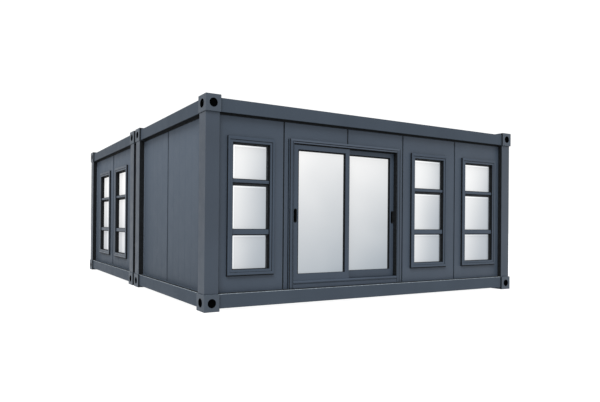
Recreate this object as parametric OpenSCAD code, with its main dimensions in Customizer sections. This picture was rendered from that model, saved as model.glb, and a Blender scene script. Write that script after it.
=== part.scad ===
// Modular home made of two steel-framed modules that stand one behind the other.
// Each module is a flat-pack frame: eight hollow corner fittings, four posts, rails, a floor and a roof.
// Sandwich panels stand between the rails. The front has a two-leaf sliding door and three windows.
// X runs along the front, Y runs from the front to the back, and Z is up, in millimetres.

/* [Modules] */
// Width of the home along its front
home_w = 6055; // [5900:5:6300]
// Depth of the front module
front_d = 3000; // [2600:5:3200]
// Depth of the rear module
rear_d = 3510; // [3450:5:3700]
// Gap between the two modules
joint_gap = 95; // [60:1:110]
// Height over the corner fittings
home_h = 2790; // [2740:5:2900]

/* [Corner fittings] */
// Width of a fitting across the front
fitting_w = 220; // [216:1:240]
// Depth of a fitting from front to back
fitting_d = 240; // [226:1:260]
// Height of a fitting
fitting_h = 223; // [215:1:235]
// Wall thickness of a fitting
fitting_wall = 14; // [8:1:20]
// Radius of the round holes in a fitting
hole_r = 54; // [40:1:60]

/* [Frame] */
// How far a post stands back from the fitting's faces
post_set = 22; // [10:1:30]
// Width of a post across the front
post_w = 190; // [170:1:194]
// Depth of a post from front to back
post_d = 204; // [180:1:206]
// How far a rail stands back from the fitting's faces
rail_set = 25; // [15:1:30]
// Thickness of a rail
rail_t = 160; // [150:1:170]
// Height of a bottom rail
bottom_rail_h = 194; // [175:1:200]
// Height of a bottom rail's underside above the ground
bottom_rail_z = 36; // [25:1:50]
// Height of a top rail
top_rail_h = 180; // [160:1:190]
// How far a top rail's top lies below the fitting's top
top_rail_drop = 36; // [35:1:60]

/* [Wall panels] */
// Thickness of a wall panel
panel_t = 75; // [50:1:80]
// How far a front or back panel stands back from the post's face
front_recess = 68; // [50:1:75]
// How far a side panel stands back from the post's face
side_recess = 88; // [60:1:88]
// Width of the open seam between two panels
seam = 6; // [3:1:10]
// Width of the first front bay, from the post to its seam
bay_1 = 1033; // [1010:1:1050]
// Width of the second front bay, over the left half of the door
bay_2 = 1132; // [1100:1:1150]
// Width of the third front bay, over the right half of the door
bay_3 = 1121; // [1112:1:1150]
// Width of the fourth front bay
bay_4 = 1200; // [1180:1:1210]
// Share of the front module's side that its first panel takes
front_side_share = 0.557; // [0.45:0.001:0.6]
// Share of the rear module's side that its first panel takes
rear_side_share = 0.516; // [0.49:0.001:0.53]

/* [Windows] */
// Distance from the left post to the left front window's casing
left_window_gap = 146; // [100:1:250]
// Width of the left front window over its casing
left_window_w = 717; // [680:1:760]
// Distance from the middle bay's left seam to its window's casing
middle_window_gap = 172; // [100:1:250]
// Width of the middle front window over its casing
middle_window_w = 803; // [700:1:840]
// Distance from the right bay's seam to its window's casing
right_window_gap = 168; // [100:1:220]
// Width of the right front window over its casing
right_window_w = 850; // [700:1:880]
// Height of a front casing's lower edge above the ground
window_z = 436; // [420:1:460]
// Height of a front casing from its lower to its upper edge
window_h = 1852; // [1800:1:1900]
// Distance from a side seam to the casing on each side of it
side_window_gap = 210; // [150:1:300]
// Width of a side window over its casing
side_window_w = 865; // [800:5:900]
// Height of a side casing's lower edge above the ground
side_window_z = 420; // [380:1:460]
// Height of a side casing from its lower to its upper edge
side_window_h = 1828; // [1800:1:1900]
// Width of a casing's upright members
casing_w = 70; // [50:1:80]
// Height of a casing's head
casing_head_h = 79; // [60:1:100]
// Height of a casing's sill
casing_sill_h = 88; // [60:1:120]
// How far a casing stands proud of the panel
casing_proud = 32; // [20:1:40]
// How far a casing laps over the frame's liner
casing_lap = 34; // [20:1:45]
// Open gap round a liner in its wall
liner_gap = 2; // [1:1:5]
// Depth of the glass behind the casing's face
glass_depth = 56; // [50:1:90]
// Thickness of the window and door glass
glass_t = 6; // [4:1:12]
// Height of a window bar
bar_h = 54; // [40:1:90]
// How far a bar's face stands back from the casing's face
bar_set = 22; // [10:1:40]
// Height of the lower bar's centre above the ground
lower_bar_z = 1037; // [1000:1:1060]
// Height of the upper bar's centre above the ground
upper_bar_z = 1698; // [1650:1:1720]
// How much lower the bars of the side windows sit
side_bar_drop = 44; // [0:1:60]

/* [Sliding door] */
// Distance from the post to the door frame's left edge
door_gap = 1116; // [1105:1:1125]
// Width of the door frame
door_w = 2082; // [2060:1:2100]
// Height of the door frame's top above the ground
door_top = 2326; // [2300:1:2350]
// Width of a door jamb's face
jamb_w = 65; // [55:1:75]
// Height of the door head's face
head_h = 59; // [50:1:70]
// Height of the sill over the bottom rail
sill_h = 104; // [90:1:120]
// Height of the sill's nose
nose_h = 30; // [24:1:50]
// How far the sill's nose stands proud of the door frame
nose_proud = 10; // [5:1:15]
// Width of a leaf's stiles
stile_w = 76; // [70:1:90]
// Height of a leaf's top rail
leaf_top_h = 94; // [80:1:120]
// Height of a leaf's bottom rail
leaf_bottom_h = 112; // [90:1:130]
// Thickness of a leaf
leaf_t = 36; // [30:1:40]
// Clearance round a leaf, which the door frame keeps on every side
leaf_gap = 6; // [6:1:10]
// Width over which the two closed leaves overlap
leaf_overlap = 64; // [50:1:80]
// How far a leaf's top and bottom reach into the tracks
track_bite = 14; // [10:1:18]
// Height of a handle's centre above the ground
handle_z = 1253; // [1100:1:1350]
// Height of a handle
handle_h = 200; // [150:1:240]
// Width of a handle
handle_w = 56; // [40:1:56]
// Distance from a leaf's outer edge to its handle's centre
handle_set = 30; // [30:1:40]
// Thickness of a handle's plate
handle_t = 3; // [2:1:4]

/* [Floor and roof] */
// Thickness of the floor deck
floor_t = 25; // [18:1:30]
// Height of a floor joist
joist_h = 140; // [100:1:160]
// Width of a floor joist
joist_w = 60; // [40:1:80]
// Number of floor joists in a module
joist_count = 9; // [7:1:11]
// Thickness of the roof deck
roof_t = 60; // [40:1:75]
// How far the roof deck's top lies below the top rails
roof_drop = 36; // [25:1:50]
// Thickness of the ceiling
ceiling_t = 12; // [9:1:20]
// How far the joint seal stands back from the posts' outer faces
seal_set = 90; // [60:1:120]
// Thickness of the joint seal
seal_t = 40; // [20:1:60]
// Thickness of the plates over the joint
plate_t = 5; // [3:1:8]
// How far the plates over the joint lap on each side
plate_lap = 60; // [40:1:90]

/* [Hidden] */

$fn = 48;
eps = 1;
steel = [0.29, 0.33, 0.36];
dark_steel = [0.24, 0.27, 0.30];
glass_tint = [0.80, 0.84, 0.87, 0.5];
board = [0.62, 0.56, 0.48];
seal_black = [0.08, 0.08, 0.09];

home_d = front_d + joint_gap + rear_d;
rear_y = front_d + joint_gap;
// Panels stay clear of the rails and of the corner fittings
panel_z = max(bottom_rail_z + bottom_rail_h, fitting_h);
panel_top = home_h - max(top_rail_drop + top_rail_h, fitting_h);
panel_h = panel_top - panel_z;
front_panel_y = post_set + front_recess;
side_panel_x = post_set + side_recess;
bay_left = post_set + post_w;
bay_right = home_w - bay_left;

// Distances of the front seams from the home's left side
seam_1 = bay_left + bay_1;
seam_2 = seam_1 + bay_2;
seam_3 = seam_2 + bay_3;
seam_4 = seam_3 + bay_4;

// Left edges and widths of the front casings
front_windows = [
    [bay_left + left_window_gap, left_window_w],
    [seam_3 + middle_window_gap, middle_window_w],
    [seam_4 + right_window_gap, right_window_w]
];

// Side walls: the seam's place along the module's depth, and the side windows' near edges
side_near = post_set + post_d;
front_side_seam = side_near + (front_d - 2 * side_near) * front_side_share;
rear_side_seam = side_near + (rear_d - 2 * side_near) * rear_side_share;
side_windows = [rear_side_seam - side_window_gap - side_window_w, rear_side_seam + side_window_gap];

// Heights of the bars' centres above their casing's lower edge
front_bars = [lower_bar_z - window_z, upper_bar_z - window_z];
side_bars = [for (z = [lower_bar_z, upper_bar_z]) z - side_bar_drop - side_window_z];

// Door: frame edges, track planes counted from the front, and leaf sizes
door_x = bay_left + door_gap;
door_y = front_panel_y - casing_proud;
track_lip = 8;
track_rib = 4;
left_leaf_y = door_y + track_lip + leaf_gap;
rib_y = left_leaf_y + leaf_t + leaf_gap;
right_leaf_y = rib_y + track_rib + leaf_gap;
inner_lip_y = right_leaf_y + leaf_t + leaf_gap;
door_depth = inner_lip_y + track_lip - door_y;
sill_top = panel_z + sill_h;
head_z = door_top - head_h;
leaf_z = sill_top - track_bite;
leaf_h = head_z + track_bite - leaf_z;
clear_x = door_x + jamb_w;
clear_w = door_w - 2 * jamb_w;
leaf_w = (clear_w - 2 * leaf_gap + leaf_overlap) / 2;
left_leaf_x = clear_x + leaf_gap;
right_leaf_x = clear_x + clear_w - leaf_gap - leaf_w;

// Places a shape that is drawn from the home's front left bottom corner
module in_home() {
    translate([-home_w / 2, -home_d / 2, 0]) children();
}

// Moves a shape of one module to the rear module
module in_rear() {
    in_home() translate([0, rear_y, 0]) children();
}

// Draws a left-hand shape on the right side too
module on_right() {
    translate([home_w, 0, 0]) mirror([1, 0, 0]) children();
}

// Draws a shape at the four corners of a module that is d deep
module at_corners(d) {
    for (right = [0, 1], back = [0, 1])
        translate([right * home_w, back * d, 0])
            mirror([right, 0, 0])
                mirror([0, back, 0])
                    children();
}

// Hollow corner fitting with a round hole in each of its three outer faces
module corner_fitting(is_top) {
    inner = [fitting_w - 2 * fitting_wall, fitting_d - 2 * fitting_wall, fitting_h - 2 * fitting_wall];
    centre = [fitting_w / 2, fitting_d / 2, fitting_h / 2];
    end_z = is_top ? fitting_h - fitting_wall - eps : -eps;
    difference() {
        cube([fitting_w, fitting_d, fitting_h]);
        translate([fitting_wall, fitting_wall, fitting_wall]) cube(inner);
        translate([centre[0], -eps, centre[2]])
            rotate([-90, 0, 0]) cylinder(r = hole_r, h = fitting_wall + 2 * eps);
        translate([-eps, centre[1], centre[2]])
            rotate([0, 90, 0]) cylinder(r = hole_r, h = fitting_wall + 2 * eps);
        translate([centre[0], centre[1], end_z])
            cylinder(r = hole_r, h = fitting_wall + 2 * eps);
    }
}

module bottom_fittings(d) {
    color(steel) at_corners(d) corner_fitting(false);
}

module top_fittings(d) {
    color(steel) at_corners(d) translate([0, 0, home_h - fitting_h]) corner_fitting(true);
}

module posts(d) {
    color(steel)
        at_corners(d)
            translate([post_set, post_set, fitting_h]) cube([post_w, post_d, home_h - 2 * fitting_h]);
}

// Four rails round a module, from z upward
module rail_ring(d, z, h) {
    along_x = home_w - 2 * fitting_w;
    along_y = d - 2 * fitting_d;
    color(steel) {
        for (y = [rail_set, d - rail_set - rail_t])
            translate([fitting_w, y, z]) cube([along_x, rail_t, h]);
        for (x = [rail_set, home_w - rail_set - rail_t])
            translate([x, fitting_d, z]) cube([rail_t, along_y, h]);
    }
}

module bottom_rails(d) {
    rail_ring(d, bottom_rail_z, bottom_rail_h);
}

module top_rails(d) {
    rail_ring(d, home_h - top_rail_drop - top_rail_h, top_rail_h);
}

// Board between a module's rails, from z upward, with a notch round each corner fitting
module between_rails(d, z, h) {
    edge = rail_set + rail_t;
    difference() {
        translate([edge, edge, z]) cube([home_w - 2 * edge, d - 2 * edge, h]);
        at_corners(d) translate([0, 0, z - eps]) cube([fitting_w, fitting_d, h + 2 * eps]);
    }
}

module floor_deck(d) {
    color(board) between_rails(d, panel_z - floor_t, floor_t);
}

module ceiling_board(d) {
    color([0.9, 0.9, 0.88]) between_rails(d, panel_top, ceiling_t);
}

module roof_deck(d) {
    color(dark_steel) between_rails(d, home_h - top_rail_drop - roof_drop - roof_t, roof_t);
}

module floor_joists(d) {
    edge = rail_set + rail_t;
    span = home_w - 2 * edge;
    step = span / (joist_count + 1);
    color(dark_steel)
        for (i = [1 : joist_count])
            translate([edge + i * step - joist_w / 2, edge, panel_z - floor_t - joist_h])
                cube([joist_w, d - 2 * edge, joist_h]);
}

// Upright panel from x0 to x1 on the front wall, with half a seam left open at each inner edge
module front_panel(x0, x1, z0 = panel_z, z1 = panel_top) {
    gap_0 = x0 > bay_left ? seam / 2 : 0;
    gap_1 = x1 < bay_right ? seam / 2 : 0;
    translate([x0 + gap_0, front_panel_y, z0])
        cube([x1 - x0 - gap_0 - gap_1, panel_t, z1 - z0]);
}

// Hole through a wall for a window whose casing starts at x and z, and is w wide and h high
module window_hole(x, w, z = window_z, h = window_h) {
    edge = casing_lap - liner_gap;
    translate([x + edge, -eps, z + edge])
        cube([w - 2 * edge, panel_t + 2 * eps, h - 2 * edge]);
}

module window_bay(x0, x1, number) {
    window = front_windows[number];
    color(steel)
        difference() {
            front_panel(x0, x1);
            translate([0, front_panel_y, 0]) window_hole(window[0], window[1]);
        }
}

module door_sides() {
    color(steel) {
        front_panel(seam_1, door_x, panel_z, door_top);
        difference() {
            front_panel(door_x + door_w - seam / 2, seam_3, panel_z, door_top);
            translate([door_x, front_panel_y - eps, panel_z]) cube([door_w, panel_t + 2 * eps, panel_h]);
        }
    }
}

module door_header() {
    color(steel) {
        front_panel(seam_1, seam_2, door_top, panel_top);
        front_panel(seam_2, seam_3, door_top, panel_top);
    }
}

// Two panels on the left side of a module that is d deep
module side_panels(d, seam_y) {
    color(steel) {
        translate([side_panel_x, side_near, panel_z])
            cube([panel_t, seam_y - seam / 2 - side_near, panel_h]);
        translate([side_panel_x, seam_y + seam / 2, panel_z])
            cube([panel_t, d - side_near - seam_y - seam / 2, panel_h]);
    }
}

module front_side_panels() {
    side_panels(front_d, front_side_seam);
}

module window_side_panels() {
    difference() {
        side_panels(rear_d, rear_side_seam);
        for (y = side_windows)
            translate([side_panel_x + panel_t, 0, 0])
                rotate([0, 0, 90]) window_hole(y, side_window_w, side_window_z, side_window_h);
    }
}

// Turns the front wall to face the back of the home
module at_back() {
    translate([0, home_d, 0]) mirror([0, 1, 0]) children();
}

module back_panels() {
    color(steel)
        difference() {
            union() {
                front_panel(bay_left, seam_1);
                front_panel(seam_1, seam_2);
                front_panel(seam_2, seam_3);
                front_panel(seam_3, seam_4);
                front_panel(seam_4, bay_right);
            }
            for (window = front_windows)
                translate([0, front_panel_y, 0]) window_hole(window[0], window[1]);
        }
}

// Window frame of width w and height h: a casing on the panel's face, a liner through the panel,
// and a bar at each height in bars. It is drawn with the panel's face at y = 0.
module window_frame(w, h, bars) {
    liner_d = casing_proud + panel_t;
    glass_w = w - 2 * casing_w;
    color(steel) {
        difference() {
            union() {
                translate([0, -casing_proud, 0]) cube([w, casing_proud, h]);
                translate([casing_lap, -casing_proud, casing_lap])
                    cube([w - 2 * casing_lap, liner_d, h - 2 * casing_lap]);
            }
            translate([casing_w, -casing_proud - eps, casing_sill_h])
                cube([glass_w, liner_d + 2 * eps, h - casing_head_h - casing_sill_h]);
        }
        for (z = bars)
            translate([casing_w - eps, bar_set - casing_proud, z - bar_h / 2])
                cube([glass_w + 2 * eps, glass_depth - bar_set, bar_h]);
    }
}

module window_pane(w, h) {
    color(glass_tint)
        translate([casing_w, glass_depth - casing_proud, casing_sill_h])
            cube([w - 2 * casing_w, glass_t, h - casing_head_h - casing_sill_h]);
}

// Draws a window part at each front window: children(0), (1) and (2) are its three widths
module at_front_windows() {
    for (i = [0 : len(front_windows) - 1])
        translate([front_windows[i][0], front_panel_y, window_z]) children(i);
}

// Draws a window part at each side window of the rear module
module at_side_windows() {
    for (y = side_windows)
        translate([side_panel_x, y + side_window_w, side_window_z]) rotate([0, 0, -90]) children();
}

module front_frames() {
    at_front_windows() {
        window_frame(left_window_w, window_h, front_bars);
        window_frame(middle_window_w, window_h, front_bars);
        window_frame(right_window_w, window_h, front_bars);
    }
}

module front_panes() {
    at_front_windows() {
        window_pane(left_window_w, window_h);
        window_pane(middle_window_w, window_h);
        window_pane(right_window_w, window_h);
    }
}

module side_frames() {
    at_side_windows() window_frame(side_window_w, side_window_h, side_bars);
}

module side_panes() {
    at_side_windows() window_pane(side_window_w, side_window_h);
}

// Door frame: two jambs, and a head and a sill with an outer lip, a middle rib and an inner lip
module sliding_door_frame() {
    track_d = leaf_gap + track_bite;
    color(dark_steel)
        translate([door_x, door_y, 0]) {
            for (x = [0, door_w - jamb_w])
                translate([x, 0, panel_z]) cube([jamb_w, door_depth, door_top - panel_z]);
            difference() {
                translate([jamb_w - eps, 0, panel_z]) cube([clear_w + 2 * eps, door_depth, sill_h]);
                track_grooves(sill_top - track_d, track_d + eps);
            }
            difference() {
                translate([jamb_w - eps, 0, head_z]) cube([clear_w + 2 * eps, door_depth, head_h]);
                track_grooves(head_z - eps, track_d + eps);
            }
            translate([jamb_w - eps, -nose_proud, sill_top - nose_h])
                cube([clear_w + 2 * eps, nose_proud + track_lip, nose_h]);
        }
}

// Two grooves that the leaves run in, from z upward
module track_grooves(z, h) {
    groove_w = leaf_t + 2 * leaf_gap;
    for (y = [track_lip, inner_lip_y - groove_w - door_y])
        translate([jamb_w, y, z]) cube([clear_w, groove_w, h]);
}

// Leaf frame: two stiles and two rails round the glass
module leaf_frame() {
    color(steel)
        difference() {
            cube([leaf_w, leaf_t, leaf_h]);
            translate([stile_w, -eps, leaf_bottom_h])
                cube([leaf_w - 2 * stile_w, leaf_t + 2 * eps, leaf_h - leaf_bottom_h - leaf_top_h]);
        }
}

module leaf_glass() {
    color(glass_tint)
        translate([stile_w, leaf_t - 2 * glass_t, leaf_bottom_h])
            cube([leaf_w - 2 * stile_w, glass_t, leaf_h - leaf_bottom_h - leaf_top_h]);
}

// Rounded handle plate on the outer face of a leaf, with its centre at x
module leaf_handle(x) {
    straight = handle_h - handle_w;
    color(seal_black)
        translate([x, 0, handle_z - leaf_z])
            rotate([90, 0, 0])
                union() {
                    for (z = [-straight / 2, straight / 2])
                        translate([0, z, 0]) cylinder(d = handle_w, h = handle_t);
                    translate([-handle_w / 2, -straight / 2, 0]) cube([handle_w, straight, handle_t]);
                }
}

module at_left_leaf() {
    in_home() translate([left_leaf_x, left_leaf_y, leaf_z]) children();
}

module at_right_leaf() {
    in_home() translate([right_leaf_x, right_leaf_y, leaf_z]) children();
}

// Seal strips that close the gap between the two modules' corner posts and fittings
module module_seal() {
    rail_top = home_h - top_rail_drop;
    color(seal_black)
        for (x = [post_set + seal_set, home_w - post_set - seal_set - seal_t])
            translate([x, 0, 0]) {
                translate([0, front_d, bottom_rail_z])
                    cube([seal_t, joint_gap, rail_top - bottom_rail_z]);
                translate([0, front_d - post_set, fitting_h])
                    cube([seal_t, joint_gap + 2 * post_set, home_h - 2 * fitting_h]);
            }
}

// Plates over the joint between the modules: on the floor, under the ceiling and on the roof
module module_plates() {
    joint_plate(panel_z);
    joint_plate(panel_top - plate_t);
    joint_plate(home_h - top_rail_drop);
}

module joint_plate(z) {
    color(dark_steel)
        translate([fitting_w, front_d - rail_set - plate_lap, z])
            cube([home_w - 2 * fitting_w, joint_gap + 2 * rail_set + 2 * plate_lap, plate_t]);
}

in_home() bottom_fittings(front_d);  // front_bottom_fittings
in_home() top_fittings(front_d);  // front_top_fittings
in_rear() bottom_fittings(rear_d);  // rear_bottom_fittings
in_rear() top_fittings(rear_d);  // rear_top_fittings
in_home() posts(front_d);  // front_posts
in_rear() posts(rear_d);  // rear_posts
in_home() bottom_rails(front_d);  // front_bottom_rails
in_home() top_rails(front_d);  // front_top_rails
in_rear() bottom_rails(rear_d);  // rear_bottom_rails
in_rear() top_rails(rear_d);  // rear_top_rails
in_home() floor_joists(front_d);  // front_floor_joists
in_rear() floor_joists(rear_d);  // rear_floor_joists
in_home() floor_deck(front_d);  // front_floor
in_rear() floor_deck(rear_d);  // rear_floor
in_home() ceiling_board(front_d);  // front_ceiling
in_rear() ceiling_board(rear_d);  // rear_ceiling
in_home() roof_deck(front_d);  // front_roof
in_rear() roof_deck(rear_d);  // rear_roof
in_home() window_bay(bay_left, seam_1, 0);  // front_wall_left_bay
in_home() door_sides();  // front_wall_door_sides
in_home() door_header();  // front_wall_door_header
in_home() window_bay(seam_3, seam_4, 1);  // front_wall_middle_bay
in_home() window_bay(seam_4, bay_right, 2);  // front_wall_right_bay
in_home() front_side_panels();  // front_module_left_wall
in_home() on_right() front_side_panels();  // front_module_right_wall
in_rear() window_side_panels();  // rear_module_left_wall
in_rear() on_right() window_side_panels();  // rear_module_right_wall
in_home() at_back() back_panels();  // back_wall
in_home() front_frames();  // front_window_frames
in_home() front_panes();  // front_window_glass
in_rear() side_frames();  // left_window_frames
in_rear() side_panes();  // left_window_glass
in_rear() on_right() side_frames();  // right_window_frames
in_rear() on_right() side_panes();  // right_window_glass
in_home() at_back() front_frames();  // back_window_frames
in_home() at_back() front_panes();  // back_window_glass
in_home() sliding_door_frame();  // door_frame
at_left_leaf() leaf_frame();  // left_leaf_frame
at_left_leaf() leaf_glass();  // left_leaf_glass
at_left_leaf() leaf_handle(handle_set);  // left_leaf_handle
at_right_leaf() leaf_frame();  // right_leaf_frame
at_right_leaf() leaf_glass();  // right_leaf_glass
at_right_leaf() leaf_handle(leaf_w - handle_set);  // right_leaf_handle
in_home() module_seal();  // joint_seal
in_home() module_plates();  // joint_plates
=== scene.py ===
import math
from collections import namedtuple

import bmesh
import bpy
from mathutils import Matrix, Vector


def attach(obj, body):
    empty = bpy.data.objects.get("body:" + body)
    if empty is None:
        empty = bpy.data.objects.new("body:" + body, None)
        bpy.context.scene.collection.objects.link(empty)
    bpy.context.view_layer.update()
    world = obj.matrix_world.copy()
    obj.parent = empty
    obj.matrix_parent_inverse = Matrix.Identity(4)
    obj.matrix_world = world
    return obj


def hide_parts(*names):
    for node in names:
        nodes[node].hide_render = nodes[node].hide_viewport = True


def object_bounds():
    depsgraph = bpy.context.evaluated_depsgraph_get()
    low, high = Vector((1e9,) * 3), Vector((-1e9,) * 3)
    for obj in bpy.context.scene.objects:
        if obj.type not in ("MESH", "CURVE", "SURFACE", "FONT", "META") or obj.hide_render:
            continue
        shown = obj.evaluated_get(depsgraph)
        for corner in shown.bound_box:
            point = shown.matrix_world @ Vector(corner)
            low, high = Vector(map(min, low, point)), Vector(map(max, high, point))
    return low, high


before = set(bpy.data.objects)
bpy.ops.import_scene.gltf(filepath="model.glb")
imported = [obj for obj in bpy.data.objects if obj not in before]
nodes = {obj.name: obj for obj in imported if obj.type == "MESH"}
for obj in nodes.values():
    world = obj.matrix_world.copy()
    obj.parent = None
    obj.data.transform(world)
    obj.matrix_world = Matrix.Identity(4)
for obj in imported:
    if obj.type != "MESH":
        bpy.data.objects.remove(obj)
cad_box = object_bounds()
low, high = cad_box
scene = bpy.context.scene

MM = 0.001
BUILDING = "building"

# A wall's own frame has x to the right along the wall as seen from outside, y into the wall and z up.
# The front wall's frame is the home's own, and the other walls' frames are turned about Z.
TURNS = {"front": 0.0, "right": math.pi / 2, "back": math.pi, "left": -math.pi / 2}

Box = namedtuple("Box", "x0 x1 y0 y1 z0 z1")


# ---------------------------------------------------------------- places from the frame

def turned_box(points, side):
    """The box round points of the home, in a wall's own frame."""
    back = Matrix.Rotation(-TURNS[side], 3, "Z")
    spots = [back @ p for p in points]
    lows = [min(p[i] for p in spots) for i in range(3)]
    highs = [max(p[i] for p in spots) for i in range(3)]
    return Box(lows[0], highs[0], lows[1], highs[1], lows[2], highs[2])


def solids(node, side="front"):
    """The boxes of a node's separate solids in a wall's own frame, from left to right."""
    mesh = bmesh.new()
    mesh.from_mesh(nodes[node].data)
    bmesh.ops.remove_doubles(mesh, verts=mesh.verts[:], dist=0.01 * MM)
    left = set(mesh.verts)
    boxes = []
    while left:
        group = {left.pop()}
        edge = list(group)
        while edge:
            vert = edge.pop()
            for link in vert.link_edges:
                other = link.other_vert(vert)
                if other not in group:
                    group.add(other)
                    edge.append(other)
        left -= group
        boxes.append(turned_box([v.co.copy() for v in group], side))
    mesh.free()
    return sorted(boxes, key=lambda b: (round(b.x0, 3), round(b.z0, 3)))


def whole(node, side="front"):
    """The box of a whole node in a wall's own frame."""
    return turned_box([v.co.copy() for v in nodes[node].data.vertices], side)


def outermost(boxes):
    """The boxes that stand furthest out of a wall."""
    face = min(b.y0 for b in boxes)
    return [b for b in boxes if b.y0 < face + 10 * MM]


def corner_of(box, middle):
    """Whether a box is at the left, and whether it is in front, of the four at its node's corners."""
    return box.x0 < middle.x0 + MM, box.y0 < middle.y0 + MM


def shrunk(box, inset):
    """A box whose six faces lie further in."""
    return Box(
        box.x0 + inset, box.x1 - inset, box.y0 + inset, box.y1 - inset, box.z0 + inset, box.z1 - inset)


def depth_in(box, point):
    """How far a point lies behind the nearest face of a box."""
    return min(
        point.x - box.x0, box.x1 - point.x, point.y - box.y0, box.y1 - point.y,
        point.z - box.z0, box.z1 - point.z)


Field = namedtuple("Field", "x0 x1 z0 z1 post_y rail_y")


def field(side, module):
    """The opening between a wall's two posts and its two rails, with the faces of both."""
    posts = outermost(solids(module + "_posts", side))
    top = outermost(solids(module + "_top_rails", side))[0]
    bottom = outermost(solids(module + "_bottom_rails", side))[0]
    return Field(posts[0].x1, posts[-1].x0, bottom.z1, top.z0, posts[0].y0, top.y0)


# ---------------------------------------------------------------- shapes

class Shapes:
    """Collects closed solids, drawn in one wall's own frame, and makes one piece of them."""

    def __init__(self, side="front"):
        self.mesh = bmesh.new()
        self.turn = Matrix.Rotation(TURNS[side], 3, "Z")
        self.extents = []  # the (x0, x1, z0, z1) of each whole window, for map_panes

    def add(self, points, faces, finish=0):
        """Adds points and faces. finish is a number, or a function that gives it for each face's centre."""
        made = [self.mesh.verts.new(self.turn @ Vector(p)) for p in points]
        for corners in faces:
            face = self.mesh.faces.new([made[i] for i in corners])
            centre = sum((Vector(points[i]) for i in corners), Vector()) / len(corners)
            face.material_index = finish(centre) if callable(finish) else finish

    def absorb(self, other, finish=0):
        """Takes over a small mesh that was drawn in the wall's own frame, and frees it."""
        other.verts.index_update()
        points = [v.co.copy() for v in other.verts]
        self.add(points, [[v.index for v in f.verts] for f in other.faces], finish)
        other.free()

    def block(self, x0, x1, y0, y1, z0, z1, rounding=0.0, steps=2, finish=0):
        """A box, with all its edges rounded if rounding is given."""
        part = bmesh.new()
        bmesh.ops.create_cube(part, size=1)
        for vert in part.verts:
            vert.co.x = x1 if vert.co.x > 0 else x0
            vert.co.y = y1 if vert.co.y > 0 else y0
            vert.co.z = z1 if vert.co.z > 0 else z0
        if rounding:
            bmesh.ops.bevel(
                part, geom=part.edges[:], offset=rounding, segments=steps, profile=0.5, affect="EDGES")
        self.absorb(part, finish)

    def ring(self, x0, x1, z0, z1, profile, finish=0):
        """Sweeps a closed profile round a rectangle with mitred corners.
        A profile point is (inset at the sides, inset below, inset above, y)."""
        points = []
        for side_in, low_in, top_in, y in profile:
            points += [
                (x0 + side_in, y, z0 + low_in), (x1 - side_in, y, z0 + low_in),
                (x1 - side_in, y, z1 - top_in), (x0 + side_in, y, z1 - top_in),
            ]
        self.add(points, loop_faces(len(profile), 4), finish)

    def ridge(self, x0, x1, z0, z1, outer, inner, face, back, curve=4 * MM, finish=0):
        """A flat ridge with rounded edges round a rectangle, from the depth face to the depth back.
        outer and inner are its insets (at the sides, below, above)."""
        edge = [(0.0, back), (0.0, face + curve), (0.3 * curve, face + 0.3 * curve), (curve, face)]
        profile = [tuple(inset + step for inset in outer) + (y,) for step, y in edge]
        profile += [tuple(inset - step for inset in inner) + (y,) for step, y in reversed(edge)]
        self.ring(x0, x1, z0, z1, profile, finish)

    def along_x(self, x0, x1, outline, finish=0):
        """Extrudes a closed outline of (y, z) points from x0 to x1."""
        self.stack([[(x, y, z) for y, z in outline] for x in (x0, x1)], finish)

    def along_y(self, y0, y1, outline, finish=0):
        """Extrudes a closed outline of (x, z) points from y0 to y1."""
        self.stack([[(x, y, z) for x, z in outline] for y in (y0, y1)], finish)

    def along_z(self, z0, z1, outline, finish=0):
        """Extrudes a closed outline of (x, y) points from z0 to z1."""
        self.stack([[(x, y, z) for x, y in outline] for z in (z0, z1)], finish)

    def stack(self, rings, finish=0):
        """A solid through rings of points that follow each other, closed at both ends."""
        around = len(rings[0])
        last = (len(rings) - 1) * around
        faces = [tuple(range(around)), tuple(range(last, last + around))]
        faces += loop_faces(len(rings), around)[:-around]
        self.add([point for ring in rings for point in ring], faces, finish)

    def piece(self, name, finishes, slot, body=BUILDING, replaces=(), smooth=35):
        """Makes the collected solids into a piece that rides on a body."""
        bmesh.ops.recalc_face_normals(self.mesh, faces=self.mesh.faces[:])
        data = bpy.data.meshes.new(name)
        self.mesh.to_mesh(data)
        self.mesh.free()
        for finish in finishes:
            data.materials.append(finish)
        made = bpy.data.objects.new(name, data)
        scene.collection.objects.link(made)
        shade(made, smooth)
        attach(made, body)
        if replaces:
            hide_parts(*replaces)
        return made


def loop_faces(count, around):
    """The faces of a closed profile of count points, swept round a loop of points."""
    faces = []
    for i in range(count):
        j = (i + 1) % count
        for k in range(around):
            m = (k + 1) % around
            faces.append((i * around + k, i * around + m, j * around + m, j * around + k))
    return faces


def rounded_outline(x0, x1, z0, z1, radii, steps):
    """The points of a rectangle with round corners, from its lower left corner and to the right.
    radii holds the four corners' radii in that order."""
    corners = ((x0, z0, 1, 1), (x1, z0, -1, 1), (x1, z1, -1, -1), (x0, z1, 1, -1))
    points = []
    for number, ((x, z, in_x, in_z), radius) in enumerate(zip(corners, radii)):
        for i in range(steps + 1):
            angle = math.pi + (number + i / steps) * math.pi / 2
            points.append((x + radius * (in_x + math.cos(angle)), z + radius * (in_z + math.sin(angle))))
    return points


def shade(piece, angle):
    """Smooth shading over edges flatter than angle, with large faces kept flat."""
    piece.data.shade_smooth()
    piece.data.set_sharp_from_angle(angle=math.radians(angle))
    weights = piece.modifiers.new("weights", "WEIGHTED_NORMAL")
    weights.keep_sharp = True
    apply_modifiers(piece)


def apply_modifiers(piece):
    """Replaces a piece's mesh by what its modifiers make of it."""
    bpy.context.view_layer.update()
    made = piece.evaluated_get(bpy.context.evaluated_depsgraph_get())
    old = piece.data
    piece.data = bpy.data.meshes.new_from_object(made)
    piece.data.name = old.name
    piece.modifiers.clear()
    bpy.data.meshes.remove(old)


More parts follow.
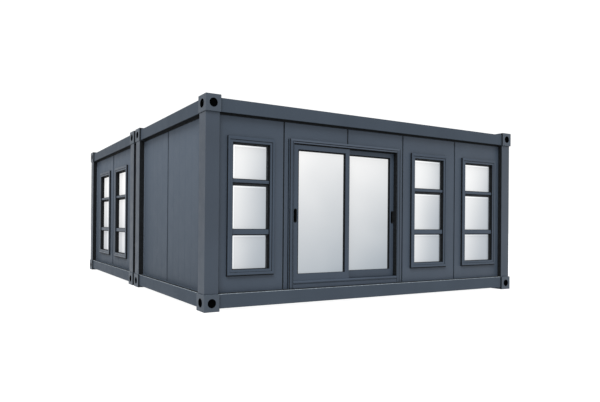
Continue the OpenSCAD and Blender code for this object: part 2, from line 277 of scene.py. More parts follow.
def cut(shapes, cutter):
    """Cuts the solids of one Shapes out of another's, and gives what is left as a small mesh."""
    pair = []
    for source in (shapes, cutter):
        bmesh.ops.recalc_face_normals(source.mesh, faces=source.mesh.faces[:])
        data = bpy.data.meshes.new("cut")
        source.mesh.to_mesh(data)
        source.mesh.free()
        pair.append(bpy.data.objects.new("cut", data))
        scene.collection.objects.link(pair[-1])
    difference = pair[0].modifiers.new("cut", "BOOLEAN")
    difference.operation = "DIFFERENCE"
    difference.solver = "EXACT"
    difference.object = pair[1]
    apply_modifiers(pair[0])
    left = bmesh.new()
    left.from_mesh(pair[0].data)
    for spent in pair:
        data = spent.data
        bpy.data.objects.remove(spent)
        bpy.data.meshes.remove(data)
    return left


# ---------------------------------------------------------------- materials

class Finish:
    """A node material in the making: its shader, and short ways to add the usual nodes."""

    def __init__(self, name):
        self.material = bpy.data.materials.new(name)
        self.material.use_nodes = True
        self.tree = self.material.node_tree
        self.shader = self.tree.nodes["Principled BSDF"]
        self.place = self.add("ShaderNodeTexCoord").outputs["Object"]

    def add(self, kind, **settings):
        node = self.tree.nodes.new(kind)
        for key, value in settings.items():
            setattr(node, key, value)
        return node

    def link(self, source, target):
        self.tree.links.new(source, target)

    def plain(self, **values):
        """Sets the shader's sockets that are the same all over the surface."""
        for key, value in values.items():
            self.shader.inputs[key.replace("_", " ")].default_value = value

    def noise(self, scale, detail=2.0, stretch=(1, 1, 1)):
        """Noise with so many features to the metre, stretched along the axes."""
        mapping = self.add("ShaderNodeMapping")
        mapping.inputs["Scale"].default_value = stretch
        noise = self.add("ShaderNodeTexNoise")
        noise.inputs["Scale"].default_value = scale
        noise.inputs["Detail"].default_value = detail
        self.link(self.place, mapping.inputs["Vector"])
        self.link(mapping.outputs["Vector"], noise.inputs["Vector"])
        return noise.outputs["Fac"]

    def spread(self, value, start, end, source=(0.3, 0.7)):
        """Maps a value from its source range to the range from start to end."""
        spread = self.add("ShaderNodeMapRange")
        spread.inputs["From Min"].default_value = source[0]
        spread.inputs["From Max"].default_value = source[1]
        spread.inputs["To Min"].default_value = start
        spread.inputs["To Max"].default_value = end
        self.link(value, spread.inputs["Value"])
        return spread.outputs["Result"]

    def clouds(self, scale, detail, start=0, end=1, source=(0.3, 0.7), stretch=(1, 1, 1)):
        """Noise mapped to the range from start to end."""
        return self.spread(self.noise(scale, detail, stretch), start, end, source)

    def blend(self, factor, one, other):
        """Mixes two colours, or the outputs that give them."""
        mix = self.add("ShaderNodeMix", data_type="RGBA")
        for socket, value in ((mix.inputs[0], factor), (mix.inputs[6], one), (mix.inputs[7], other)):
            if isinstance(value, bpy.types.NodeSocket):
                self.link(value, socket)
            elif isinstance(value, tuple):
                socket.default_value = (*value, 1)
            else:
                socket.default_value = value
        return mix.outputs[2]

    def colour(self, output):
        self.link(output, self.shader.inputs["Base Color"])

    def roughness(self, output):
        self.link(output, self.shader.inputs["Roughness"])

    def bump(self, height, distance, strength=1.0):
        """Adds a bump on top of those that are there."""
        bump = self.add("ShaderNodeBump")
        bump.inputs["Distance"].default_value = distance
        bump.inputs["Strength"].default_value = strength
        self.link(height, bump.inputs["Height"])
        normal = self.shader.inputs["Normal"]
        if normal.is_linked:
            self.link(normal.links[0].from_socket, bump.inputs["Normal"])
        self.link(bump.outputs["Normal"], normal)


def tinted(colour, share):
    """A colour made lighter or darker by a share of itself."""
    return tuple(c * (1 + share) for c in colour)


def paint(name, colour, roughness=0.42, cloud=0.06, streak=0.0, gloss=0.1, height_shade=None):
    """Powder-coated steel: broad clouds, faint vertical streaks and a fine orange-peel surface.
    The height shade gives how much darker it is painted at the ground and how much lighter at the roof:
    painted shade and painted light."""
    finish = Finish(name)
    base = finish.blend(finish.clouds(1.7, 3.0), tinted(colour, -cloud), tinted(colour, cloud))
    specks = finish.clouds(55, 4.0)
    base = finish.blend(finish.spread(specks, 0, 0.25, (0, 1)), base, tinted(colour, 0.12))
    if streak:
        lines = finish.clouds(9, 3.0, stretch=(1, 1, 0.05))
        base = finish.blend(finish.spread(lines, 0, streak, (0, 1)), base, tinted(colour, 0.45))
    # Painted shade and light: darker towards the ground and lighter towards the roof.
    if height_shade:
        split = finish.add("ShaderNodeSeparateXYZ")
        finish.link(finish.place, split.inputs["Vector"])
        height = finish.spread(split.outputs["Z"], 0, 1, (low.z, high.z))
        shaded_by_height = finish.blend(height, tinted(colour, -height_shade), tinted(colour, height_shade))
        base = finish.blend(0.7, base, shaded_by_height)
    finish.colour(base)
    finish.roughness(finish.clouds(6, 4.0, roughness - 0.05, roughness + 0.06))
    finish.bump(finish.noise(420, 1.0), 0.12 * MM, 0.5)
    finish.plain(Specular_IOR_Level=gloss)
    return finish.material


def rubber(name, shade_value=0.006, gloss=0.06):
    """Black rubber and plastic, dull, with a dusty bloom in places; the same finish also makes black pieces
    of painted shade and a pale painted highlight.
    """
    finish = Finish(name)
    dust = finish.clouds(28, 4.0, source=(0.42, 0.72))
    colour = (shade_value, shade_value * 1.15, shade_value * 1.3)
    finish.colour(finish.blend(dust, colour, tinted(colour, 0.8)))
    finish.roughness(finish.clouds(60, 2.0, 0.55, 0.75))
    finish.bump(finish.noise(900, 2.0), 0.1 * MM, 0.5)
    finish.plain(Specular_IOR_Level=gloss)
    return finish.material


def galvanised(name):
    """Zinc-coated steel with its spangle."""
    finish = Finish(name)
    spangle = finish.add("ShaderNodeTexVoronoi")
    spangle.inputs["Scale"].default_value = 90
    finish.link(finish.place, spangle.inputs["Vector"])
    finish.colour(finish.blend(spangle.outputs["Distance"], (0.30, 0.31, 0.32), (0.46, 0.47, 0.48)))
    finish.roughness(finish.clouds(30, 3.0, 0.34, 0.5))
    finish.bump(finish.noise(140, 2.0), 0.1 * MM, 0.4)
    finish.plain(Metallic=0.85)
    return finish.material


def glass(name, tones, slope, lift=0.0, curve="EASE", mirror=1.0):
    """Opaque glass with a painted reflection that glows a little though it is no lamp: pale at a window's
    upper left corner and deep at its lower right.
    slope is how fast the tone deepens to the right and downwards, lift makes the whole tone lighter by a
    share (darker below zero), and mirror scales the real reflections."""
    finish = Finish(name)
    uv = finish.add("ShaderNodeUVMap", uv_map="window").outputs["UV"]
    split = finish.add("ShaderNodeSeparateXYZ")
    finish.link(uv, split.inputs["Vector"])
    depth = finish.clouds(1.5, 1.0, -0.05, 0.05)
    for axis, rate in (("X", slope[0]), ("Y", -slope[1])):
        step = finish.add("ShaderNodeMath", operation="MULTIPLY_ADD")
        step.inputs[1].default_value = rate
        finish.link(split.outputs[axis], step.inputs[0])
        finish.link(depth, step.inputs[2])
        depth = step.outputs[0]
    ramp = finish.add("ShaderNodeValToRGB")
    ramp.color_ramp.interpolation = curve
    for element, tone in zip(ramp.color_ramp.elements, tones):
        element.color = (*tinted(tone, lift), 1)
    finish.link(finish.spread(depth, 0, 1, (-0.95 * slope[1], 0.9 * slope[0])), ramp.inputs["Fac"])
    finish.colour(finish.blend(0.75, ramp.outputs["Color"], (0.0, 0.0, 0.0)))
    finish.link(ramp.outputs["Color"], finish.shader.inputs["Emission Color"])
    finish.roughness(finish.clouds(12, 2.0, 0.05, 0.1))
    finish.bump(finish.noise(2.5, 1.0), 1.0 * MM, 0.1)
    # Painted reflection and glow: the tone above also feeds the emission, so the glass shines though it is
    # no lamp.
    finish.plain(
        Emission_Strength=0.64, Coat_Weight=0.3 * mirror, Coat_Roughness=0.03,
        Specular_IOR_Level=0.5 * mirror)
    return finish.material


def interior(name, colour, roughness=0.55):
    """Pale indoor finish with a faint roller texture."""
    finish = Finish(name)
    finish.colour(finish.blend(finish.clouds(2, 3.0), colour, tinted(colour, -0.06)))
    finish.roughness(finish.clouds(14, 2.0, roughness - 0.06, roughness + 0.06))
    finish.bump(finish.noise(260, 2.0), 0.1 * MM, 0.5)
    return finish.material


def planks(name):
    """Wood-look floor: a tone for each plank, and grain along it."""
    finish = Finish(name)
    tone = finish.add("ShaderNodeNewGeometry").outputs["Random Per Island"]
    base = finish.blend(tone, (0.25, 0.17, 0.105), (0.40, 0.29, 0.19))
    grain = finish.clouds(26, 5.0, source=(0.35, 0.65), stretch=(0.08, 1, 1))
    finish.colour(finish.blend(finish.spread(grain, 0, 0.5, (0, 1)), base, (0.16, 0.10, 0.06)))
    finish.roughness(finish.clouds(20, 3.0, 0.38, 0.55))
    finish.bump(grain, 0.3 * MM, 0.3)
    return finish.material


FRAME_PAINT = paint("frame_paint", (0.033, 0.0432, 0.0585), gloss=0.18)
RAIL_PAINT = paint("rail_paint", (0.038, 0.0485, 0.063), gloss=0.02)
FITTING_PAINT = paint("fitting_paint", (0.045, 0.056, 0.071), gloss=0.1)
PANEL_PAINT = paint("panel_paint", (0.034, 0.046, 0.064), roughness=0.46, cloud=0.05, streak=0.03, gloss=0.2)
# The home's sides take a lighter copy of the panel paint: painted light for the key light that falls on
# them, with painted shade and light by height.
LIT_SIDE_PAINT = paint(
    "side_panel_lit_paint", (0.0555, 0.0695, 0.0895), roughness=0.46, cloud=0.03, streak=0.02, gloss=0.03,
    height_shade=0.3)
CASING_PAINT = paint("casing_paint", (0.032, 0.044, 0.062), roughness=0.38, gloss=0.15)
DOOR_PAINT = paint("door_paint", (0.031, 0.042, 0.059), roughness=0.36, gloss=0.15)
# A lighter, glossier copy of the door paint for the door head and the rear of the frame's sides: painted
# light where shade falls on them.
DOOR_LIT_PAINT = paint("door_lit_paint", (0.041, 0.054, 0.074), roughness=0.36, gloss=0.2)
# A pale bead that is a painted highlight on the bottom rails' upper edge.
PAINTED_HIGHLIGHT = rubber("pale_sealant", 0.17, 0.3)
# Black for real rubber, and for sheets of painted shade in recesses and joints.
BLACK = rubber("black_rubber_and_shade")
# Near-black for the insides of the fittings and of the pull's cup: painted shade.
PIT_SHADE = rubber("painted_pit_shade", 0.0006, 0.0)
SASH = rubber("charcoal_sash", 0.016, 0.15)
# The glass's painted reflection: its tones from a window's pale upper left to its deep lower right, and how
# fast it deepens to the right and downwards.
WINDOW_TONES, WINDOW_SLOPE = ((0.90, 0.905, 0.905), (0.375, 0.415, 0.46)), (1.0, 0.7)
SIDE_TONES, SIDE_SLOPE = ((0.95, 0.95, 0.95), (0.64, 0.66, 0.69)), (0.1, 1.0)
DOOR_TONES, DOOR_SLOPE = ((0.875, 0.875, 0.875), (0.335, 0.38, 0.425)), (0.26, 1.0)


def glass_set(name, tones, slope, lifts, curve="EASE", mirror=1.0):
    """The finishes of a pane, of its bevelled border with a painted highlight and of the thin line of
    painted shade inside that.
    """
    kinds = zip(("", "_highlight_border", "_shade_line"), (0.0, *lifts))
    return [glass(name + kind, tones, slope, lift, curve, mirror) for kind, lift in kinds]


WINDOW_GLASS = glass_set("window_glass", WINDOW_TONES, WINDOW_SLOPE, (0.34, -0.08))
SIDE_GLASS = glass_set("side_window_glass", SIDE_TONES, SIDE_SLOPE, (0.1, -0.06), mirror=0.15)
DOOR_GLASS = glass_set("door_glass", DOOR_TONES, DOOR_SLOPE, (0.06, -0.03), "LINEAR")
ZINC = galvanised("zinc")
WHITE = interior("white_lining", (0.72, 0.72, 0.70))
PLANKS = planks("floor_planks")


# ---------------------------------------------------------------- steel frame

FITTING_ROUNDING = 5 * MM
FITTING_WALL = 14 * MM
PAINT_DEPTH = 1.8 * MM  # what lies deeper in a fitting is painted black, as painted shade
HOLE_RADIUS = 55 * MM
HOLE_STEPS = 40
SINK_WIDTH = 6 * MM
SINK_DEPTH = 4 * MM
WEB_INSET = 16 * MM
WEB_HALF = 3 * MM
RAIL_EDGE = 4 * MM
RAIL_STEPS = 4
POST_EDGE = 5 * MM
POST_OUT = 11 * MM
BOTTOM_RAIL_RADIUS = 10 * MM
SKIN = 1.5 * MM  # how far a thin black seal or sheet of painted shade stands off the face that it lies on


def fitting_shell(fitting, left, front, is_top):
    """A hollow corner fitting with a round hole in each of its three outer faces."""
    solid, hollow, shell, drill = Shapes(), Shapes(), Shapes(), Shapes()
    solid.block(*fitting, rounding=FITTING_ROUNDING, steps=3)
    hollow.block(*shrunk(fitting, FITTING_WALL))
    shell.absorb(cut(solid, hollow))
    centre = [(fitting[i] + fitting[i + 1]) / 2 for i in (0, 2, 4)]
    ends = (
        (fitting.x0, -1) if left else (fitting.x1, 1),
        (fitting.y0, -1) if front else (fitting.y1, 1),
        (fitting.z1, 1) if is_top else (fitting.z0, -1),
    )
    for axis, (end, outwards) in enumerate(ends):
        drill_hole(drill, axis, centre, end, outwards)
    return cut(shell, drill)


def drill_hole(shapes, axis, centre, end, outwards):
    """A round cutter, with a countersink, through the wall of a fitting that lies at end on an axis."""
    sections = (
        # distance outwards from the face, radius
        (2 * MM, HOLE_RADIUS + SINK_WIDTH), (-SINK_DEPTH, HOLE_RADIUS), (-FITTING_WALL - MM, HOLE_RADIUS),
    )
    rings = []
    for offset, radius in sections:
        ring = []
        for i in range(HOLE_STEPS):
            angle = i / HOLE_STEPS * 2 * math.pi
            spot = list(centre)
            spot[axis] = end + outwards * offset
            spot[(axis + 1) % 3] += radius * math.cos(angle)
            spot[(axis + 2) % 3] += radius * math.sin(angle)
            ring.append(tuple(spot))
        rings.append(ring)
    shapes.stack(rings)


def make_fittings(node, is_top):
    """The four corner fittings of one node, painted black inside as painted shade, and with a web across the
    inside of each.
    """
    shapes = Shapes()
    middle = whole(node)
    for fitting in solids(node):
        left, front = corner_of(fitting, middle)
        shell = fitting_shell(fitting, left, front, is_top)
        shapes.absorb(shell, lambda centre, box=fitting: int(depth_in(box, centre) > PAINT_DEPTH))
        fitting_web(shapes, shrunk(fitting, WEB_INSET), left == front)
    shapes.piece(node + "_steel", [FITTING_PAINT, PIT_SHADE], "fitting_steel", replaces=[node])


def fitting_web(shapes, room, rising):
    """The upright web, painted black as shade, that runs from corner to corner of the room inside a fitting.
    """
    y0, y1 = (room.y0, room.y1) if rising else (room.y1, room.y0)
    half = WEB_HALF
    outline = [(room.x0 - half, y0), (room.x0 + half, y0), (room.x1 + half, y1), (room.x1 - half, y1)]
    shapes.along_z(room.z0, room.z1, outline, 1)


Rail = namedtuple("Rail", "box along_x near far outer_first")


def rails(node):
    """The rails of a ring, with the edges of each across its length and which of the two is outside."""
    middle = whole(node)
    found = []
    for box in solids(node):
        along_x = box.x1 - box.x0 > box.y1 - box.y0
        near, far = (box.y0, box.y1) if along_x else (box.x0, box.x1)
        centre = (middle.y0 + middle.y1) / 2 if along_x else (middle.x0 + middle.x1) / 2
        found.append(Rail(box, along_x, near, far, near + far < 2 * centre))
    return found


def run_along(shapes, rail, outline):
    """Extrudes an outline across a rail along its length."""
    if rail.along_x:
        shapes.along_x(rail.box.x0, rail.box.x1, outline)
    else:
        shapes.along_y(rail.box.y0, rail.box.y1, outline)


def make_rails(node, top_radius):
    """Rails as folded sections: their outer top edges are rounded with top_radius."""
    shapes = Shapes()
    for rail in rails(node):
        run_along(shapes, rail, rail_outline(rail, top_radius))
    shapes.piece(node + "_steel", [RAIL_PAINT], "frame_steel", replaces=[node])


def make_rail_beads(node):
    """A pale bead along the upper outer edge of each bottom rail, which is a painted highlight, and a black
    strip of painted shade behind it.
    """
    sections = {
        # (mm inwards from the rail's outer face, mm above its top)
        "_sealant": (PAINTED_HIGHLIGHT, ((-1, -12), (-1, -8), (1, -6), (12, -6), (12, -12))),
        "_top_painted_shade": (BLACK, ((-0.5, -6), (-0.5, -3), (2, 4), (20, 4), (20, -6))),
    }
    for ending, (finish, section) in sections.items():
        shapes = Shapes()
        for rail in rails(node):
            outer, inward = (rail.near, 1) if rail.outer_first else (rail.far, -1)
            run_along(shapes, rail, [(outer + inward * a * MM, rail.box.z1 + z * MM) for a, z in section])
        shapes.piece(node + ending, [finish], "seal")


def rail_outline(rail, top_radius):
    """The section of a rail, with its large radius at the upper edge of its outer face."""
    radii = [RAIL_EDGE] * 4
    radii[3 if rail.outer_first else 2] = top_radius
    return rounded_outline(rail.near, rail.far, rail.box.z0, rail.box.z1, radii, RAIL_STEPS)


def make_fitting_shade(node):
    """Thin black sheets of painted shade on the faces of the corner fittings that look along the walls or
    into the joint.
    """
    shapes = Shapes()
    middle = whole(node)
    edge = 4 * MM
    deep = 34 * MM
    for box in solids(node):
        left, front = corner_of(box, middle)
        side_x = box.x1 if left else box.x0
        side_y = box.y1 if front else box.y0
        out_x = (box.x0 + edge, box.x0 + deep) if left else (box.x1 - deep, box.x1 - edge)
        out_y = (box.y0 + edge, box.y0 + deep) if front else (box.y1 - deep, box.y1 - edge)
        shapes.block(side_x - SKIN, side_x + SKIN, *out_y, box.z0 + edge, box.z1 - edge)
        shapes.block(*out_x, side_y - SKIN, side_y + SKIN, box.z0 + edge, box.z1 - edge)
    shapes.piece(node + "_end_painted_shade", [BLACK], "seal")


def widened(post):
    """A post's box, a little further out at the side of the home."""
    if post.x0 + post.x1 < low.x + high.x:
        return post._replace(x0=post.x0 - POST_OUT)
    return post._replace(x1=post.x1 + POST_OUT)


def make_joint_shade():
    """Black sheets of painted shade on the faces of the posts and fittings that look into the joint between
    the modules.
    """
    shapes = Shapes()
    edge = 5 * MM
    for module in ("front", "rear"):
        for kind in ("posts", "bottom_fittings", "top_fittings"):
            node = module + "_" + kind
            middle = whole(node)
            for box in solids(node):
                in_front = corner_of(box, middle)[1]
                if in_front == (module == "front"):
                    continue
                y = box.y0 if in_front else box.y1
                if kind == "posts":
                    box = widened(box)
                shapes.block(
                    box.x0 + edge, box.x1 - edge, y - SKIN, y + SKIN, box.z0 + edge, box.z1 - edge)
    shapes.piece("joint_painted_shade", [BLACK], "seal")


def make_steelwork():
    for module in ("front", "rear"):
        bottom, top = module + "_bottom", module + "_top"
        make_fittings(bottom + "_fittings", False)
        make_fittings(top + "_fittings", True)
        make_rails(bottom + "_rails", BOTTOM_RAIL_RADIUS)
        make_rails(top + "_rails", RAIL_EDGE)
        make_rail_beads(bottom + "_rails")
        make_fitting_shade(bottom + "_fittings")
        make_fitting_shade(top + "_fittings")
        posts = Shapes()
        for box in solids(module + "_posts"):
            posts.block(*widened(box), rounding=POST_EDGE, steps=3)
        posts.piece(module + "_posts_steel", [FRAME_PAINT], "frame_steel", replaces=[module + "_posts"])
    make_joint_shade()


make_steelwork()


# ---------------------------------------------------------------- walls

LIP_W = 16 * MM
LIP_H = 2.5 * MM
LIP_BEND = 3 * MM
# How far the panels at the left and at the right of a seam stay back from its edges in the CAD
FRONT_SEAM = (8 * MM, 8 * MM)
NEAR_SEAM = (-4 * MM, 34 * MM)
FAR_SEAM = (22 * MM, 22 * MM)
GASKET_LEFT, GASKET_RIGHT = 32 * MM, 40 * MM
GASKET_FRONT, GASKET_BACK = 9 * MM, 24 * MM
RIB_W = 16 * MM
RIB_DEPTH = 2 * MM
RIB_PITCH = 235 * MM


def panel_outline(box, bays, ribbed, seam):
    """A panel seen from above: folded lips at the edges that meet a seam, and shallow grooves.
    bays says whether its left and its right edge meet a seam."""
    left_back, right_back = seam
    x0 = box.x0 + (right_back if bays[0] else 0)
    x1 = box.x1 - (left_back if bays[1] else 0)
    face = box.y0 + LIP_H
    lip = ((0.0, box.y0 + LIP_BEND), (LIP_BEND, box.y0), (LIP_W, box.y0), (LIP_W + LIP_BEND, face))
    front = [(x0 + across, y) for across, y in lip] if bays[0] else [(x0, face)]
    if ribbed:
        count = max(1, round((x1 - x0) / RIB_PITCH))
        for i in range(1, count):
            x = x0 + (x1 - x0) * i / count
            front += [
                (x - RIB_W / 2, face), (x - RIB_W / 4, face + RIB_DEPTH),
                (x + RIB_W / 4, face + RIB_DEPTH), (x + RIB_W / 2, face),
            ]
    front += [(x1 - across, y) for across, y in reversed(lip)] if bays[1] else [(x1, face)]
    return front + [(x1, box.y1), (x0, box.y1)]


def make_wall(node, side, opening, seam, openings=(), ribbed=False):
    """The sandwich panels of one wall node, painted outside and white inside."""
    shapes = Shapes(side)
    inner = whole(node, side).y1
    past = 100 * MM

    def lining(centre):
        return 1 if centre.y > inner - MM else 0

    for box in solids(node, side):
        bays = (box.x0 > opening.x0 + MM, box.x1 < opening.x1 - MM)
        panel = Shapes()
        panel.along_z(box.z0, box.z1, panel_outline(box, bays, ribbed, seam))
        holes = [h for h in openings if h.x0 > box.x0 and h.x1 < box.x1]
        if holes:
            cutter = Shapes()
            for hole in holes:
                cutter.block(hole.x0, hole.x1, box.y0 - past, box.y1 + past, hole.z0, hole.z1)
            shapes.absorb(cut(panel, cutter), lining)
        else:
            shapes.absorb(panel.mesh, lining)
    # The home's sides get the lighter side paint, which is painted light.
    outside = LIT_SIDE_PAINT if side in ("left", "right") else PANEL_PAINT
    shapes.piece(node + "_panels", [outside, WHITE], "wall_panel", replaces=[node])


def make_seams(name, side, opening, boxes):
    """Black gaskets that fill the seams between panels, a little behind their faces."""
    shapes = Shapes(side)
    for box in boxes:
        x = round(box.x0, 4)
        if x > opening.x0 + MM:
            shapes.block(
                x - GASKET_LEFT, x + GASKET_RIGHT, box.y0 + GASKET_FRONT, box.y0 + GASKET_BACK,
                box.z0, box.z1)
    shapes.piece(name, [BLACK], "seal")


def make_recess_shading(name, side, opening, face):
    """Black sheets of painted shade that line the recess between the frame and the panels, above and at both
    sides.
    On the home's own sides a cove in the lighter side paint fills the corner between each black sheet and
    its panel."""
    shapes = Shapes(side)
    lining = 2 * MM
    edge = 5 * MM
    nose = 24 * MM
    on_side = side in ("left", "right")
    post_front = opening.post_y + edge - (POST_OUT if on_side else 0)
    rail_front = opening.rail_y + edge
    shapes.block(opening.x0, opening.x0 + lining, post_front, face, opening.z0, opening.z1)
    shapes.block(opening.x1 - lining, opening.x1, post_front, face, opening.z0, opening.z1)
    shapes.block(opening.x0, opening.x1, rail_front, face, opening.z1 - lining, opening.z1)
    # A black strip of painted shadow on the panels under the top rail.
    shapes.block(
        opening.x0, opening.x1, face - 9 * MM, face + LIP_H, opening.z1 - nose, opening.z1, rounding=2 * MM)
    if on_side:
        cove_w, cove_h = 10 * MM, 12 * MM
        for x, inwards in ((opening.x0 + lining, 1), (opening.x1 - lining, -1)):
            outline = [(x, face - cove_h), (x + inwards * cove_w, face + LIP_H), (x, face + LIP_H)]
            shapes.along_z(opening.z0, opening.z1 - nose, outline, 1)
    shapes.piece(name, [BLACK, LIT_SIDE_PAINT], "seal")


# ---------------------------------------------------------------- windows

Window = namedtuple("Window", "casing glass bars")


def windows(frames, panes, side):
    """Each window of a wall: the box of its casing, that of its glass, and its bars' heights."""
    found = []
    back = Matrix.Rotation(-TURNS[side], 3, "Z")
    spots = [back @ v.co for v in nodes[frames].data.vertices]
    for casing, glazing in zip(solids(frames, side), solids(panes, side)):
        levels = sorted({
            round(p.z, 4) for p in spots
            if casing.x0 < p.x < casing.x1 and glazing.z0 + MM < p.z < glazing.z1 - MM
        })
        found.append(Window(casing, glazing, list(zip(levels[::2], levels[1::2]))))
    return found


CASING_DEPTH = 30 * MM
CASING_CURVE = 3 * MM
# Of the groove at the sides, below and above: where it starts in the casing's width, and how wide it is
GROOVE_STARTS = (0.43, 0.50, 0.54)
GROOVE_WIDTHS = (8 * MM, 3 * MM, 7 * MM)
# How far up a casing's paint begins, above the black strip of painted shade below it.
SHADE_STRIP_H = 18 * MM
GASKET_DEPTH = 7 * MM
INNER_RIDGE_DEPTH = 4 * MM
GROOVE_DEPTH = 4 * MM
LINING_DEPTH = 9 * MM
RIGHT_STRIP = 6 * MM
BAR_SETBACK = 22 * MM
BAR_DEPTH = 14 * MM
BAR_SHADE_LINE = 5 * MM
# How far a bar's lower and upper edge are drawn below its edges in the CAD
LOW_BAR_SHIFTS = (19 * MM, 7 * MM)
HIGH_BAR_SHIFTS = (-7 * MM, 4 * MM)
LOW_BAR_DROP = 8 * MM
SIDE_PANE_SETBACK = 24 * MM


def casing_ring(painted, black, window):
    """The moulded casing: an outer and an inner ridge, with a groove between them that is filled black
    above, below and at the right as painted shade, and filled with paint at the left."""
    casing, glazing = window.casing, window.glass
    side_w = glazing.x0 - casing.x0
    head_w = casing.z1 - glazing.z1
    sill_w = glazing.z0 - casing.z0
    side, sill, head = GROOVE_STARTS
    groove = (side * side_w, SHADE_STRIP_H + sill * (sill_w - SHADE_STRIP_H), head * head_w)
    side_in, low_in, top_in = (start + width for start, width in zip(groove, GROOVE_WIDTHS))
    box = (casing.x0, casing.x1, casing.z0, casing.z1)
    back = casing.y0 + CASING_DEPTH
    painted.ridge(*box, (0.0, SHADE_STRIP_H, 0.0), groove, casing.y0, back, CASING_CURVE)
    painted.ridge(
        *box, (side_in, low_in, top_in), (side_w, sill_w, head_w), casing.y0 + INNER_RIDGE_DEPTH, back,
        CASING_CURVE)
    fill = casing.y0 + GROOVE_DEPTH
    x0, x1 = casing.x0 + groove[0], casing.x1 - groove[0]
    z0, z1 = casing.z0 + groove[1], casing.z1 - groove[2]
    # The groove's fill: paint at the left, and black as painted shade at the right, above and below.
    painted.block(x0, casing.x0 + side_in, fill, back, z0, z1)
    black.block(casing.x1 - side_in, x1, fill, back, z0, z1)
    black.block(x0, x1, fill, back, casing.z1 - top_in, z1)
    black.block(x0, x1, fill, back, z0, casing.z0 + low_in)


def casing_gasket(shapes, window, face):
    """The black gasket between a casing and its panel, painted shade that shows as a dark outline at its
    side and a dark strip below the casing.
    """
    casing = window.casing
    lap = 1.5 * MM
    strip_rise = 3 * MM
    deep = 30 * MM
    front = casing.y0 + GASKET_DEPTH
    shapes.ring(casing.x0, casing.x1, casing.z0, casing.z1, [
        (-lap, strip_rise, -lap, front), (-lap, strip_rise, -lap, face + LIP_H),
        (deep, deep, deep, face + LIP_H), (deep, deep, deep, front),
    ])


def reveal_lining(shapes, window, wall_back):
    """The black lining of a window's reveal, from the edge of its casing to the inside of the wall."""
    glazing = window.glass
    front = window.casing.y0 + LINING_DEPTH
    thick = 2 * MM
    shapes.ring(glazing.x0, glazing.x1, glazing.z0, glazing.z1, [
        (-MM, -MM, -MM, front), (thick, thick, thick, front),
        (thick, thick, thick, wall_back), (-MM, -MM, -MM, wall_back),
    ])
    shapes.block(glazing.x1 - RIGHT_STRIP, glazing.x1, front, wall_back, glazing.z0, glazing.z1)


def window_bar(painted, black, window, bar, face, is_low):
    """A window bar with a rounded face, on a deeper black core that shows above and below it as lines of
    painted shade.
    A black block behind both closes the gaps to the sashes."""
    glazing = window.glass
    z0, z1 = bar
    low_shift, top_shift = LOW_BAR_SHIFTS if is_low else HIGH_BAR_SHIFTS
    bottom, top = z0 - low_shift, z1 - top_shift
    curve = 6 * MM
    painted.along_x(glazing.x0, glazing.x1, [
        (face + BAR_DEPTH, bottom), (face + 4 * MM, bottom), (face + MM, bottom + 2 * MM),
        (face, bottom + curve), (face, top - curve), (face + 2 * MM, top - 2 * MM), (face + curve, top),
        (face + BAR_DEPTH, top),
    ])
    lap = 4 * MM
    back = glazing.y1 + 10 * MM
    rest = z1 - (LOW_BAR_DROP if is_low else 0)
    black.block(glazing.x0, glazing.x1, face + BAR_SHADE_LINE, back, bottom - BAR_SHADE_LINE, top + BAR_SHADE_LINE)
    black.block(glazing.x0, glazing.x1, glazing.y0 - lap, back, z0 - lap, rest + lap)


def pane_spans(window):
    """The lower and upper edge of each pane between a window's bars."""
    levels = [window.glass.z0]
    for number, (z0, z1) in enumerate(window.bars):
        levels += [z0, z1 - (LOW_BAR_DROP if number == 0 else 0)]
    levels.append(window.glass.z1)
    return list(zip(levels[::2], levels[1::2]))


# The charcoal sash round each pane is a real frame, drawn deeper above a pane than below it as painted shade
# under the head and the bars.
SASH_SIDE = 29 * MM
SASH_HEAD = 29 * MM
SASH_UNDER_BAR = 34 * MM
SASH_BOTTOM = 8 * MM


def sash(shapes, x0, x1, z0, z1, y, insets):
    """The dark frame round a pane, which stands in front of the glass and has round inner corners."""
    steps = 5
    radius = 10 * MM
    gap = 3 * MM
    depth = 6 * MM
    chamfer = 2 * MM
    profile = (
        # whether it is on the inner edge, distance from the outer or the inner edge, distance behind y
        (False, gap, depth), (False, gap, -depth), (True, chamfer, -depth), (True, 0.0, chamfer - depth),
        (True, 0.0, depth),
    )
    points = []
    for is_inner, step, back in profile:
        side_in, low_in, top_in = (inset - step if is_inner else min(step, inset / 2) for inset in insets)
        outline = rounded_outline(
            x0 + side_in, x1 - side_in, z0 + low_in, z1 - top_in, [radius if is_inner else MM] * 4, steps)
        points += [(x, y + back, z) for x, z in outline]
    shapes.add(points, loop_faces(len(profile), 4 * (steps + 1)), 1)


def pane(shapes, box, insets, extent):
    """A pane whose bevelled border has a painted highlight above and at the left, with a thin line of
    painted shade inside it.
    box is (x0, x1, z0, z1, y0, y1), and extent is the whole window's (x0, x1, z0, z1)."""
    x0, x1, z0, z1, y0, y1 = box
    side_in, low_in, top_in = insets
    tuck = 3 * MM
    border = 20 * MM
    line = 4 * MM
    drop = 0.6 * MM

    def finish(centre):
        inwards = min(centre.x - x0 - side_in, z1 - top_in - centre.z)
        if centre.y > y1 - MM or inwards > border + line:
            return 0
        return 1 if inwards < border else 2

    rings = []
    within = border + line
    for inset, y in ((within, y0 + drop / 2), (border, y0), (-tuck, y0 + drop), (-tuck, y1), (within, y1)):
        a0, a1 = x0 + side_in + inset, x1 - side_in - inset
        c0, c1 = z0 + low_in + inset, z1 - top_in - inset
        rings.append([(a0, y, c0), (a1, y, c0), (a1, y, c1), (a0, y, c1)])
    shapes.stack(rings, finish)
    shapes.extents.append(extent)


